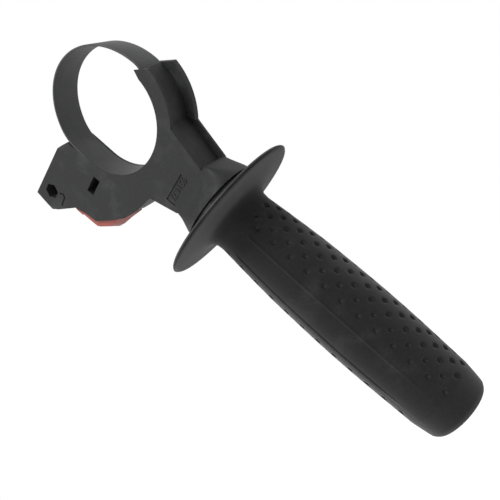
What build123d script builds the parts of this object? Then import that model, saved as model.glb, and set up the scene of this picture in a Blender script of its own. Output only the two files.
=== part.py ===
from build123d import *
import math
import os

# Strap-clamp side handle for a drill. Millimetres, +Z up. The origin is the centre of the clamp's bore, +Y runs
# along the bore away from the nameplate side, and the grip hangs down -Z from the bore's centre.

# Tool collar and the moulded clamp body round it.
bore_radius = 25.25
body_thickness = 18.0
arm_wall = 4.95
arm_front_lip = 1.8
arm_back_lip = 4.6
arm_front_plate = 2.0
arm_back_plate = 2.8
arm_end_front_reach = 19.8
arm_end_back_reach = 21.4
arm_end_turn = 40.0
lead_in_radius = 27.5
lead_in_angle = -10.7
left_wall_height = 14.4

# Neck between the saddle and the grip. Its sides taper, and its foot swells from a rectangle to a round.
neck_foot_z = -60.0
neck_foot_radius = 19.25
neck_waist_z = -48.6
neck_waist_half = 14.0
neck_taper = 0.264
neck_notch_z = -34.2
neck_corner = 0.6
side_recess = 2.95
side_recess_floor_z = -48.1
side_wall = 1.4
nameplate_centre = (-4.2, -43.5)
nameplate_size = (15.2, 5.0)
nameplate_depth = 0.6

# Housing of the depth rod, on the -X side.
housing_brow = (-32.1, 17.8)
housing_top = (-62.3, 19.0)
housing_side = (-64.0, 7.7)
housing_toe = (-61.5, 4.6)
pad_edge = [(-52.8, -3.4), (-51.4, -9.2), (-50.9, -15.7), (-44.1, -22.4), (-37.2, -27.9), (-32.4, -30.0), (-27.6, -31.8), (-23.2, -32.9)]
rod_centre = (-54.9, 11.75)
rod_hexagon_radius = 3.85
window_centre = (-34.55, -7.0)
window_size = (8.9, 3.8)
tongue_slit = [(-52.6, 7.2), (-51.5, 5.6), (-52.6, 3.9), (-57.6, 3.7)]
tongue_slit_width = 0.9
tongue_slit_depth = 0.6
bevel_line = -36.8
bevel_reach = 15.0
bevel_depth = 1.1
bevel_span = (-14.0, 60.0)

# Steel strap round the tool collar. Both ends close round a pin of the tension yoke.
strap_width = 16.0
strap_thickness = 0.8
strap_gap = 0.3
strap_side_gap = 0.1
loop_centre = (0.45, 0.9)
loop_half_width = 28.3
loop_half_height = 32.4
arm_bend_radius = 10.8
saddle_bend_radius = 3.0
saddle_dive_angle = -108.0
loop_leave_angle = 143.0
strap_end_width = 7.6
strap_shoulder_z = -29.0
strap_shoulder_drop = 5.0
ledge_foot = (-26.6, -5.6)
ledge_head = (-29.8, 18.5)
ledge_reach = 3.4
ledge_depth = 1.2

# Tension yoke, its pins and its threaded stud, which slide in the neck.
pin_offset = 5.0
pin_z = -44.5
pin_radius = 1.5
pin_play = 0.05
yoke_length = 17.6
yoke_depth = 13.4
yoke_cheek = 2.6
yoke_base = 5.0
yoke_base_top_z = -48.5
yoke_cheek_rise = 2.8
yoke_play = 0.3
chamber_top_z = -39.0
stud_radius = 4.95
stud_length = 41.0
lock_pin_radius = 1.0
travel = 6.0

# Washers between the neck's foot and the grip.
slide_washer_thickness = 0.8
slide_washer_radius = 17.0
thrust_washer_thickness = 1.6
thrust_washer_radius = 15.0
washer_hole_radius = 5.4

# Grip: hard core with its flange, soft sleeve over it, nut and end cap inside it.
flange_radius = 36.0
flange_seam_z = -65.8
flange_half = 1.0
flange_rim = 1.6
collar_radius = 15.5
waist_radius = 14.95
waist_z = -74.5
throat = [(27.0, -67.4), (18.6, -68.9), (15.8, -70.6)]
shoulder = (16.1, -87.5)
swell = (17.55, -111.0)
belly_radius = 18.1
belly_z = -137.0
tail_radius = 16.9
tail_z = -182.0
grip_end_z = -194.2
end_corner = 3.8
sleeve_wall = 3.0
sleeve_lip = 0.25
core_bore_radius = 10.3
core_end_wall = 1.5
stud_bore_radius = 5.6
nut_flats = 17.0
nut_depth = 7.6
nut_length = 16.0
nut_play = 0.05
retainer_thickness = 1.2
retainer_hole_radius = 7.0
cap_thickness = 3.0
cap_radius = 10.3

# Release button. It slides along a line at 45 degrees, into the housing and up.
press_travel = 2.5
button_width = 13.6
button_gap = 0.25
button_back_u = -41.0
button_lug_u = -38.0
button_crest = [(-41.8, 38.4), (-49.5, 30.3), (-52.1, 27.3), (-52.7, 24.7), (-52.7, 18.3), (-51.3, 14.6), (-48.3, 9.3), (-44.8, 2.2)]
button_crown = 2.3
button_end = (-42.6, 1.2)
button_core_u = -44.0
button_core_foot = 9.0
lug_foot = 27.5
lug_width = 9.3
hook_shank = (15.8, 21.4)
hook_barb = 0.8
hook_root_u = -36.15
hook_tip_u = -34.6
ledge_u = -36.2
spring_spread = (6.3, 3.5)
spring_radius = 1.9
spring_wire = 0.3
spring_seat_u = -33.5
spring_turns = 6

# Steel lock bar that the button draws against the depth rod.
bar_thickness = 2.5
bar_steps = [(-1.6, -2.2), (1.6, -2.2), (1.6, 4.3), (3.3, 6.3), (3.3, 21.9), (-1.6, 21.9)]
bar_gap = 0.25
bar_pin_u = -40.66
bar_pin_share = 0.306
bar_pin_radius = 1.2

half_body = body_thickness / 2
arm_floor_radius = bore_radius + arm_wall
arm_front_radius = arm_floor_radius + arm_front_lip
arm_back_radius = arm_floor_radius + arm_back_lip
neck_side_plane = Plane.XZ
press_plane = Plane(origin=(0, 0, 0), x_dir=(1, 0, 1), z_dir=(0, -1, 0))
os.makedirs("parts", exist_ok=True)


def polar(radius, angle):
    """A point at a radius and an angle about the bore, from +X towards +Z."""
    return (radius * math.cos(math.radians(angle)), radius * math.sin(math.radians(angle)))


def polar_flat(radius, angle):
    """The same point as a direction in space."""
    x, z = polar(radius, angle)
    return (x, 0, z)


def angle_of(point):
    """The angle of a point about the bore, in degrees."""
    return math.degrees(math.atan2(point[1], point[0]))


def arm_end(radius):
    """The point of the arm's end, at its back face, at a radius from the bore's axis."""
    return polar(radius, arm_end_turn - math.degrees(math.acos(arm_end_back_reach / radius)))


def neck_half(z):
    """Half the neck's full width at a height."""
    return neck_waist_half + (z - neck_waist_z) * neck_taper


def neck_side(radius, inset):
    """Where the neck's side, moved in by an inset, crosses a circle about the bore."""
    start = neck_waist_half - inset - neck_taper * neck_waist_z
    a = neck_taper**2 + 1
    b = 2 * neck_taper * start
    c = start**2 - radius**2
    z = (-b - math.sqrt(b * b - 4 * a * c)) / (2 * a)
    return (start + neck_taper * z, z)


def arc_about_bore(start, end, radius):
    """An arc about the bore's axis from one point to another, the short way round."""
    middle = polar(radius, (angle_of(start) + angle_of(end)) / 2)
    return ThreePointArc(start, middle, end)


def touch_point(centre, radius, target, side):
    """Where a line from a target point touches a circle, on its +X or -X side."""
    dx = target[0] - centre[0]
    dz = target[1] - centre[1]
    turn = math.acos(radius / math.hypot(dx, dz))
    angle = math.atan2(dz, dx) + side * turn
    return (centre[0] + radius * math.cos(angle), centre[1] + radius * math.sin(angle))


def save(piece, name):
    """Labels a finished piece and writes it."""
    piece.label = name
    export_step(piece, f"parts/{name}.step")


# The strap's route in the XZ plane: from one pin up a straight leg and a bend, over the collar in an ellipse, down
# along the saddle's own arc, and round a tight bend to the other pin.
eye_radius = pin_radius + pin_play + strap_thickness / 2
arm_side = (loop_centre[0] + loop_half_width, loop_centre[1])
arm_bend_centre = (arm_side[0] - arm_bend_radius, arm_side[1])
saddle_line = bore_radius + strap_thickness / 2
saddle_side = (-saddle_line, 0)
saddle_dive = polar(saddle_line, saddle_dive_angle)
saddle_bend_centre = polar(saddle_line + saddle_bend_radius, saddle_dive_angle)
loop_leave = (
    loop_centre[0] + loop_half_width * math.cos(math.radians(loop_leave_angle)),
    loop_centre[1] + loop_half_height * math.sin(math.radians(loop_leave_angle)),
)
leave_rise = loop_half_height * math.cos(math.radians(loop_leave_angle))
leave_run = -loop_half_width * math.sin(math.radians(loop_leave_angle))
leave_normal = (-leave_rise / math.hypot(leave_rise, leave_run), leave_run / math.hypot(leave_rise, leave_run))
side_bend_radius = (loop_leave[0] + saddle_line) / (1 - leave_normal[0])
side_bend_centre = (side_bend_radius - saddle_line, loop_leave[1] + leave_normal[1] * side_bend_radius)
side_bend_end = (-saddle_line, side_bend_centre[1])
arm_pin = (pin_offset, pin_z)
saddle_pin = (-pin_offset, pin_z)
arm_touch = touch_point(arm_bend_centre, arm_bend_radius, arm_pin, 1)
saddle_touch = touch_point(saddle_bend_centre, saddle_bend_radius, saddle_pin, 1)


def bend_middle(centre, radius, start, end):
    """The middle of a bend, for the arc through it."""
    first = math.atan2(start[1] - centre[1], start[0] - centre[0])
    last = math.atan2(end[1] - centre[1], end[0] - centre[0])
    if abs(last - first) > math.pi:
        last += math.copysign(2 * math.pi, first - last)
    middle = (first + last) / 2
    return (centre[0] + radius * math.cos(middle), centre[1] + radius * math.sin(middle))


def leg_end(touch, pin):
    """Where a strap leg meets the eye round its pin."""
    length = math.dist(touch, pin)
    share = (length - eye_radius) / length
    return (touch[0] + (pin[0] - touch[0]) * share, touch[1] + (pin[1] - touch[1]) * share)


def nearest(touch, pin):
    """The point of a strap leg that is nearest the bore's axis."""
    run = math.dist(touch, pin)
    along = ((pin[0] - touch[0]) / run, (pin[1] - touch[1]) / run)
    share = -(touch[0] * along[0] + touch[1] * along[1])
    return (touch[0] + along[0] * share, touch[1] + along[1] * share)


arm_bend_middle = bend_middle(arm_bend_centre, arm_bend_radius, arm_side, arm_touch)
side_bend_middle = bend_middle(side_bend_centre, side_bend_radius, loop_leave, side_bend_end)
saddle_middle = polar(saddle_line, (saddle_dive_angle - 180) / 2)
saddle_bend_middle = bend_middle(saddle_bend_centre, saddle_bend_radius, saddle_dive, saddle_touch)
arm_leg_end = leg_end(arm_touch, arm_pin)
saddle_leg_end = leg_end(saddle_touch, saddle_pin)

# Clamp strap: one spring-steel strip, narrowed at both ends, each end rolled into an eye.
with BuildPart() as clamp_band:
    with BuildSketch(Plane.XZ) as strip:
        with BuildLine() as route:
            Line(arm_leg_end, arm_touch)
            ThreePointArc(arm_touch, arm_bend_middle, arm_side)
            EllipticalCenterArc(loop_centre, loop_half_width, loop_half_height, 0, arc_size=loop_leave_angle)
            ThreePointArc(loop_leave, side_bend_middle, side_bend_end)
            Line(side_bend_end, saddle_side)
            ThreePointArc(saddle_side, saddle_middle, saddle_dive)
            ThreePointArc(saddle_dive, saddle_bend_middle, saddle_touch)
            Line(saddle_touch, saddle_leg_end)
        trace(line_width=strap_thickness)
        for pin in (arm_pin, saddle_pin):
            with Locations(pin):
                Circle(eye_radius + strap_thickness / 2)
                Circle(eye_radius - strap_thickness / 2, mode=Mode.SUBTRACT)
    extrude(amount=strap_width / 2, both=True)
    with BuildSketch(Plane.YZ) as shoulders:
        with BuildLine():
            Polyline(
                (strap_width, strap_shoulder_z),
                (strap_width / 2, strap_shoulder_z),
                (strap_end_width / 2, strap_shoulder_z - strap_shoulder_drop),
                (strap_end_width / 2, pin_z - 2 * eye_radius),
                (strap_width, pin_z - 2 * eye_radius),
                close=True,
            )
        make_face()
        mirror(about=Plane.YZ)
    extrude(amount=2 * loop_half_width, both=True, mode=Mode.SUBTRACT)
save(clamp_band.part, "clamp_band")

# The button's lug, with the lock bar pinned in it, and the springs on each side of its hook.
lug_top = lug_foot + lug_width
crest_u = min(u for u, v in button_crest)
button_top = max(lug_top, button_crest[0][1])
pin_line = lug_foot + bar_pin_share * lug_width
pin_place = press_plane.from_local_coords((bar_pin_u, pin_line, 0))
bar_pin = (pin_place.X, pin_place.Z)
bar_outline = [(bar_pin[0] + step[0], bar_pin[1] + step[1]) for step in bar_steps]
hook_line = sum(hook_shank) / 2
spring_lines = (hook_shank[0] - spring_spread[0], hook_shank[1] + spring_spread[1])

# Clamp body: one glass-filled nylon moulding. Saddle, arm, neck and rod housing are one slab, with thin plates
# standing out of the arm and a swelling foot.
arm_floor_corner = neck_side(arm_floor_radius, side_recess)
arm_front_corner = neck_side(arm_front_radius, side_recess)
arm_back_corner = neck_side(arm_back_radius, 0)
bore_right = polar(bore_radius, lead_in_angle)
bore_left = (-bore_radius, 0)
neck_notch = (-neck_half(neck_notch_z), neck_notch_z)
recess_floor_in = (neck_half(side_recess_floor_z) - side_recess, side_recess_floor_z)
recess_floor_out = (neck_half(side_recess_floor_z), side_recess_floor_z)
plate_root_radius = bore_radius + strap_thickness + 2 * strap_gap
foot_steps = 4
with BuildPart() as clamp_body:
    with BuildSketch(Plane.XZ) as slab:
        with BuildLine():
            Line(bore_right, arm_end(lead_in_radius))
            Line(arm_end(lead_in_radius), arm_end(arm_floor_radius))
            arc_about_bore(arm_end(arm_floor_radius), arm_floor_corner, arm_floor_radius)
            Polyline(
                arm_floor_corner,
                recess_floor_in,
                recess_floor_out,
                (neck_waist_half, neck_waist_z),
                (-neck_waist_half, neck_waist_z),
                neck_notch,
                *reversed(pad_edge),
                housing_toe,
                housing_side,
                housing_top,
                housing_brow,
                (-bore_radius, left_wall_height),
                bore_left,
            )
            ThreePointArc(bore_left, (0, -bore_radius), bore_right)
        make_face()
    extrude(amount=half_body, both=True)
    # Front plate of the arm.
    with BuildSketch(Plane.XZ.offset(half_body - arm_front_plate)):
        with BuildLine():
            Line(arm_end(plate_root_radius), arm_end(arm_front_radius))
            arc_about_bore(arm_end(arm_front_radius), arm_front_corner, arm_front_radius)
            Line(arm_front_corner, neck_side(plate_root_radius, side_recess))
            arc_about_bore(neck_side(plate_root_radius, side_recess), arm_end(plate_root_radius), plate_root_radius)
        make_face()
    extrude(amount=arm_front_plate)
    # Back plate of the arm, and the thinner wall that carries on down the neck.
    with BuildSketch(Plane.XZ.offset(-half_body)):
        with BuildLine():
            Line(arm_end(plate_root_radius), arm_end(arm_back_radius))
            arc_about_bore(arm_end(arm_back_radius), arm_back_corner, arm_back_radius)
            Line(arm_back_corner, arm_floor_corner)
            Line(arm_floor_corner, neck_side(plate_root_radius, side_recess))
            arc_about_bore(neck_side(plate_root_radius, side_recess), arm_end(plate_root_radius), plate_root_radius)
        make_face()
    extrude(amount=arm_back_plate)
    with BuildSketch(Plane.XZ.offset(-half_body)):
        with BuildLine():
            Polyline(
                neck_side(plate_root_radius, side_recess),
                arm_floor_corner,
                arm_back_corner,
                recess_floor_out,
                (recess_floor_in[0] - side_recess, side_recess_floor_z),
                close=True,
            )
        make_face()
    extrude(amount=side_wall)
    # The arm's end plane, which reaches further at the back than at the front.
    slant = (arm_end_back_reach - arm_end_front_reach) / body_thickness
    end_plane = Plane(origin=(0, 0, 0), x_dir=polar_flat(1, arm_end_turn), z_dir=polar_flat(1, arm_end_turn - 90))
    with BuildSketch(end_plane):
        with BuildLine():
            Polyline(
                (arm_end_front_reach - slant, half_body + 1),
                (arm_end_back_reach + slant, -half_body - 1),
                (arm_floor_radius, -half_body - 1),
                (arm_floor_radius, half_body + 1),
                close=True,
            )
        make_face()
    extrude(amount=arm_back_radius, mode=Mode.SUBTRACT)
    # Foot: rounded rectangles that grow into a circle.
    for step in range(foot_steps):
        share = step / (foot_steps - 1)
        across = neck_waist_half + (neck_foot_radius - neck_waist_half) * share
        deep = half_body + (neck_foot_radius - half_body) * share**1.8
        corner = neck_corner + (neck_foot_radius - 2 * neck_corner) * share**1.3 * 0.97
        with BuildSketch(Plane.XY.offset(neck_waist_z + (neck_foot_z - neck_waist_z) * share)):
            RectangleRounded(2 * across, 2 * deep, corner)
    loft()
    # Chamber of the yoke, open at the foot.
    with BuildSketch(Plane.XY.offset(neck_foot_z)):
        Rectangle(yoke_length + 2 * yoke_play, yoke_depth + 2 * yoke_play)
    extrude(amount=chamber_top_z - neck_foot_z, mode=Mode.SUBTRACT)
    # Slots that the strap runs in. The arm's is open to the bore down to where the leg comes nearest its axis, and
    # the saddle's is a groove that brings the strap level with the bore.
    with BuildSketch(Plane.XZ) as slots:
        with BuildLine():
            Line(arm_pin, arm_touch)
            ThreePointArc(arm_touch, arm_bend_middle, arm_side)
            Line(arm_side, (arm_side[0], housing_top[1]))
        trace(line_width=strap_thickness + 2 * strap_gap)
        with BuildLine():
            Line(saddle_pin, saddle_touch)
            ThreePointArc(saddle_touch, saddle_bend_middle, saddle_dive)
            ThreePointArc(saddle_dive, saddle_middle, saddle_side)
            Line(saddle_side, (saddle_side[0], housing_top[1]))
        trace(line_width=strap_thickness + 2 * strap_gap)
        with BuildLine():
            ThreePointArc(arm_touch, arm_bend_middle, arm_side)
            Polyline(
                arm_side,
                (arm_side[0], housing_top[1]),
                (0, housing_top[1]),
                (0, 0),
                nearest(arm_touch, arm_pin),
                arm_touch,
            )
        make_face()
        with Locations((0, chamber_top_z - half_body)):
            Rectangle(4 * neck_waist_half, 2 * half_body, mode=Mode.SUBTRACT)
    extrude(amount=strap_width / 2 + strap_side_gap, both=True, mode=Mode.SUBTRACT)
    # Ledge beside the strap, where the nameplate side slopes back to the strap's edge.
    ledge_run = math.dist(ledge_foot, ledge_head)
    ledge_rise = ((ledge_head[0] - ledge_foot[0]) / ledge_run, (ledge_head[1] - ledge_foot[1]) / ledge_run)
    across_ledge = Plane(
        origin=(ledge_foot[0], -half_body, ledge_foot[1]),
        x_dir=(ledge_rise[1], 0, -ledge_rise[0]),
        z_dir=(ledge_rise[0], 0, ledge_rise[1]),
    )
    with BuildSketch(across_ledge):
        with BuildLine():
            Polyline(
                (0, 0),
                (2 * ledge_reach, 2 * ledge_depth),
                (2 * ledge_reach, -ledge_depth),
                (0, -ledge_depth),
                close=True,
            )
        make_face()
    extrude(amount=ledge_run, mode=Mode.SUBTRACT)
    # Both faces fall away towards the button.
    for side in (1, -1):
        slope = Plane(
            origin=press_plane.from_local_coords((0, bevel_span[0], 0)),
            x_dir=(1, 0, 1),
            z_dir=(-1, 0, 1),
        )
        with BuildSketch(slope):
            with BuildLine():
                Polyline(
                    (bevel_line, side * half_body),
                    (bevel_line - bevel_reach, side * half_body),
                    (bevel_line - bevel_reach, side * (half_body - bevel_depth)),
                    close=True,
                )
            make_face()
        extrude(amount=bevel_span[1] - bevel_span[0], mode=Mode.SUBTRACT)
    # Pocket of the release button, with the snap ledge of its hook.
    with BuildSketch(press_plane):
        with BuildLine():
            Polyline(
                (crest_u - press_travel, button_end[1] - button_gap),
                (button_back_u + press_travel + button_gap, button_end[1] - button_gap),
                (button_back_u + press_travel + button_gap, lug_foot - button_gap),
                (button_lug_u + press_travel + button_gap, lug_foot - button_gap),
                (button_lug_u + press_travel + button_gap, button_top + button_gap),
                (crest_u - press_travel, button_top + button_gap),
                close=True,
            )
        make_face()
        with Locations(((ledge_u + button_back_u) / 2, hook_line)):
            Rectangle(ledge_u - button_back_u, hook_shank[1] - hook_shank[0] + 2 * button_gap)
        hook_end = hook_tip_u + press_travel + 2 * button_gap
        with Locations(((ledge_u + hook_end) / 2, hook_line)):
            Rectangle(hook_end - ledge_u, hook_shank[1] - hook_shank[0] + 2 * hook_barb + 2 * button_gap)
    extrude(amount=button_width / 2 + button_gap - 0.05, both=True, mode=Mode.SUBTRACT)
    for line in spring_lines:
        with BuildSketch(Plane(origin=press_plane.from_local_coords((button_back_u, line, 0)), z_dir=(1, 0, 1))):
            Circle(spring_radius + spring_wire + button_gap)
        extrude(amount=spring_seat_u - button_back_u, mode=Mode.SUBTRACT)
    # Slot of the lock bar, the hexagon that guides the depth rod, and the moulding window.
    bar_low = min(z for x, z in bar_outline)
    bar_high = max(z for x, z in bar_outline)
    bar_left = min(x for x, z in bar_outline)
    bar_right = max(x for x, z in bar_outline)
    bar_shift = press_travel / math.sqrt(2)
    with BuildSketch(Plane.XZ):
        with Locations(((bar_left + bar_right + bar_shift) / 2, (bar_high + bar_shift + pad_edge[1][1]) / 2)):
            Rectangle(bar_right - bar_left + bar_shift + 2 * bar_gap, bar_high + bar_shift + 2 * bar_gap - pad_edge[1][1])
    extrude(amount=bar_thickness / 2 + bar_gap, both=True, mode=Mode.SUBTRACT)
    with BuildSketch(Plane.XZ):
        with Locations(rod_centre):
            RegularPolygon(rod_hexagon_radius, 6)
        with Locations(window_centre):
            Rectangle(*window_size)
    extrude(amount=half_body, both=True, mode=Mode.SUBTRACT)
    with BuildSketch(Plane.XZ.offset(half_body - tongue_slit_depth)):
        with BuildLine():
            Polyline(*tongue_slit)
        trace(line_width=tongue_slit_width)
    extrude(amount=tongue_slit_depth, mode=Mode.SUBTRACT)
    with BuildSketch(Plane.XZ.offset(half_body - nameplate_depth)):
        with Locations(nameplate_centre):
            Rectangle(*nameplate_size)
    extrude(amount=nameplate_depth, mode=Mode.SUBTRACT)
save(clamp_body.part, "clamp_body")

# Tension yoke: a steel fork. Its cheeks hold the two strap pins, and its base holds the stud.
yoke_cheek_height = pin_z + yoke_cheek_rise - yoke_base_top_z
cheek_offset = (yoke_depth - yoke_cheek) / 2
with BuildPart() as tension_yoke:
    with BuildSketch(Plane.XY.offset(yoke_base_top_z)):
        Rectangle(yoke_length, yoke_depth)
    extrude(amount=-yoke_base)
    with BuildSketch(Plane.XY.offset(yoke_base_top_z)):
        with Locations((0, cheek_offset), (0, -cheek_offset)):
            Rectangle(yoke_length, yoke_cheek)
    extrude(amount=yoke_cheek_height)
    fillet(tension_yoke.edges().filter_by(Axis.Y).group_by(Axis.Z)[-1], pin_radius)
    with BuildSketch(Plane.XZ):
        with Locations(arm_pin, saddle_pin):
            Circle(pin_radius)
    extrude(amount=yoke_depth, both=True, mode=Mode.SUBTRACT)
    with BuildSketch(Plane.XY.offset(yoke_base_top_z)):
        Circle(stud_radius)
    extrude(amount=-yoke_base, mode=Mode.SUBTRACT)
    with BuildSketch(Plane.YZ):
        with Locations((0, yoke_base_top_z - yoke_base / 2)):
            Circle(lock_pin_radius)
    extrude(amount=yoke_length, both=True, mode=Mode.SUBTRACT)
save(tension_yoke.part, "tension_yoke")

# Strap pins: two steel dowels, one for each end of the strap.
for name, pin in (("strap_pin_arm_side", arm_pin), ("strap_pin_gauge_side", saddle_pin)):
    with BuildPart() as strap_pin:
        with BuildSketch(Plane.XZ):
            with Locations(pin):
                Circle(pin_radius)
        extrude(amount=yoke_depth / 2, both=True)
    save(strap_pin.part, name)

# Tension stud: a threaded rod screwed into the yoke.
with BuildPart() as tension_stud:
    with BuildSketch(Plane.XY.offset(yoke_base_top_z)):
        Circle(stud_radius)
    extrude(amount=-stud_length)
    chamfer(tension_stud.edges().group_by(Axis.Z)[0], 1.0)
    with BuildSketch(Plane.YZ):
        with Locations((0, yoke_base_top_z - yoke_base / 2)):
            Circle(lock_pin_radius)
    extrude(amount=yoke_length, both=True, mode=Mode.SUBTRACT)
save(tension_stud.part, "tension_stud")

# Lock pin: a spring pin across the yoke's base that keeps the stud from turning.
with BuildPart() as stud_lock_pin:
    with BuildSketch(Plane.YZ):
        with Locations((0, yoke_base_top_z - yoke_base / 2)):
            Circle(lock_pin_radius)
    extrude(amount=yoke_length / 2, both=True)
save(stud_lock_pin.part, "stud_lock_pin")

# Washers: a nylon one stays with the neck, a steel one turns with the grip.
thrust_washer_z = neck_foot_z - slide_washer_thickness
grip_top_z = thrust_washer_z - thrust_washer_thickness
with BuildPart() as slide_washer:
    with BuildSketch(Plane.XY.offset(neck_foot_z)):
        Circle(slide_washer_radius)
        Circle(washer_hole_radius, mode=Mode.SUBTRACT)
    extrude(amount=-slide_washer_thickness)
save(slide_washer.part, "slide_washer")
with BuildPart() as thrust_washer:
    with BuildSketch(Plane.XY.offset(thrust_washer_z)):
        Circle(thrust_washer_radius)
        Circle(washer_hole_radius, mode=Mode.SUBTRACT)
    extrude(amount=-thrust_washer_thickness)
save(thrust_washer.part, "thrust_washer")

# Grip core: one hard nylon moulding, a flange on a long hollow barrel. The nut is moulded into its top.
nut_top_z = grip_top_z - nut_depth
nut_low_z = nut_top_z - nut_length
core_end_z = grip_end_z + cap_thickness
end_ring_radius = core_bore_radius + core_end_wall
with BuildPart() as grip_core:
    with BuildSketch(Plane.XZ):
        with BuildLine():
            Line((0, grip_top_z), (collar_radius, grip_top_z))
            Line((collar_radius, grip_top_z), (collar_radius, flange_seam_z + flange_half))
            Line(
                (collar_radius, flange_seam_z + flange_half),
                (flange_radius - flange_rim, flange_seam_z + flange_half),
            )
            flange_corner = (
                flange_radius - flange_rim * (1 - math.sqrt(0.5)),
                flange_seam_z + flange_half * math.sqrt(0.5),
            )
            ThreePointArc(
                (flange_radius - flange_rim, flange_seam_z + flange_half),
                flange_corner,
                (flange_radius, flange_seam_z),
            )
            Line((flange_radius, flange_seam_z), (waist_radius, flange_seam_z))
            Line((waist_radius, flange_seam_z), (waist_radius - sleeve_wall, flange_seam_z - sleeve_wall))
            Line((waist_radius - sleeve_wall, flange_seam_z - sleeve_wall), (waist_radius - sleeve_wall, waist_z))
            Spline(
                (waist_radius - sleeve_wall, waist_z),
                (shoulder[0] - sleeve_wall, shoulder[1]),
                (swell[0] - sleeve_wall, swell[1]),
                (belly_radius - sleeve_wall, belly_z),
                (tail_radius - sleeve_wall, tail_z),
                tangents=[(0, -1), (-0.1, -1)],
            )
            Line((tail_radius - sleeve_wall, tail_z), (tail_radius - sleeve_wall, core_end_z + sleeve_wall))
            Line((tail_radius - sleeve_wall, core_end_z + sleeve_wall), (end_ring_radius, grip_end_z))
            Line((end_ring_radius, grip_end_z), (0, grip_end_z))
            Line((0, grip_end_z), (0, grip_top_z))
        make_face()
    revolve(axis=Axis.Z)
    with BuildSketch(Plane.XY.offset(grip_top_z)):
        Circle(stud_bore_radius)
    extrude(amount=nut_top_z - grip_top_z, mode=Mode.SUBTRACT)
    with BuildSketch(Plane.XY.offset(nut_top_z)):
        RegularPolygon(nut_flats / 2, 6, major_radius=False)
    extrude(amount=-nut_length, mode=Mode.SUBTRACT)
    with BuildSketch(Plane.XY.offset(nut_low_z)):
        Circle(core_bore_radius)
    extrude(amount=grip_end_z - nut_low_z, mode=Mode.SUBTRACT)
save(grip_core.part, "grip_core")

# Grip sleeve: soft rubber moulded over the core, from the flange's seam to the end.
with BuildPart() as grip_sleeve:
    with BuildSketch(Plane.XZ):
        with BuildLine():
            rim_low = (flange_radius - flange_rim, flange_seam_z - flange_half)
            rim_corner = (
                flange_radius - sleeve_lip - flange_rim * (1 - math.sqrt(0.5)),
                flange_seam_z - flange_half * math.sqrt(0.5),
            )
            Line((waist_radius, flange_seam_z), (flange_radius - sleeve_lip, flange_seam_z))
            ThreePointArc((flange_radius - sleeve_lip, flange_seam_z), rim_corner, rim_low)
            Spline(
                rim_low,
                *throat,
                (waist_radius, waist_z),
                tangents=[(-1, -0.04), (0, -1)],
            )
            Spline(
                (waist_radius, waist_z),
                shoulder,
                swell,
                (belly_radius, belly_z),
                (tail_radius, tail_z),
                tangents=[(0, -1), (-0.1, -1)],
            )
            Line((tail_radius, tail_z), (end_ring_radius + end_corner, grip_end_z + end_corner))
            RadiusArc(
                (end_ring_radius + end_corner, grip_end_z + end_corner),
                (end_ring_radius, grip_end_z),
                end_corner,
            )
            Line((end_ring_radius, grip_end_z), (tail_radius - sleeve_wall, core_end_z + sleeve_wall))
            Line((tail_radius - sleeve_wall, core_end_z + sleeve_wall), (tail_radius - sleeve_wall, tail_z))
            Spline(
                (waist_radius - sleeve_wall, waist_z),
                (shoulder[0] - sleeve_wall, shoulder[1]),
                (swell[0] - sleeve_wall, swell[1]),
                (belly_radius - sleeve_wall, belly_z),
                (tail_radius - sleeve_wall, tail_z),
                tangents=[(0, -1), (-0.1, -1)],
            )
            Line((waist_radius - sleeve_wall, waist_z), (waist_radius - sleeve_wall, flange_seam_z - sleeve_wall))
            Line((waist_radius - sleeve_wall, flange_seam_z - sleeve_wall), (waist_radius, flange_seam_z))
        make_face()
    revolve(axis=Axis.Z)
save(grip_sleeve.part, "grip_sleeve")

# Clamp nut: a long hexagon nut that draws the stud down as the grip turns.
with BuildPart() as clamp_nut:
    with BuildSketch(Plane.XY.offset(nut_top_z)):
        RegularPolygon(nut_flats / 2, 6, major_radius=False)
        Circle(stud_radius + nut_play, mode=Mode.SUBTRACT)
    extrude(amount=-nut_length)
save(clamp_nut.part, "clamp_nut")

# Nut retainer: a push-on steel ring below the nut.
with BuildPart() as nut_retainer:
    with BuildSketch(Plane.XY.offset(nut_low_z)):
        Circle(core_bore_radius)
        Circle(retainer_hole_radius, mode=Mode.SUBTRACT)
    extrude(amount=-retainer_thickness)
save(nut_retainer.part, "nut_retainer")

# End cap: a nylon plug that closes the barrel.
with BuildPart() as grip_end_cap:
    with BuildSketch(Plane.XY.offset(grip_end_z)):
        Circle(cap_radius)
    extrude(amount=cap_thickness)
    fillet(grip_end_cap.edges().group_by(Axis.Z)[0], 0.6)
save(grip_end_cap.part, "grip_end_cap")

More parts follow.
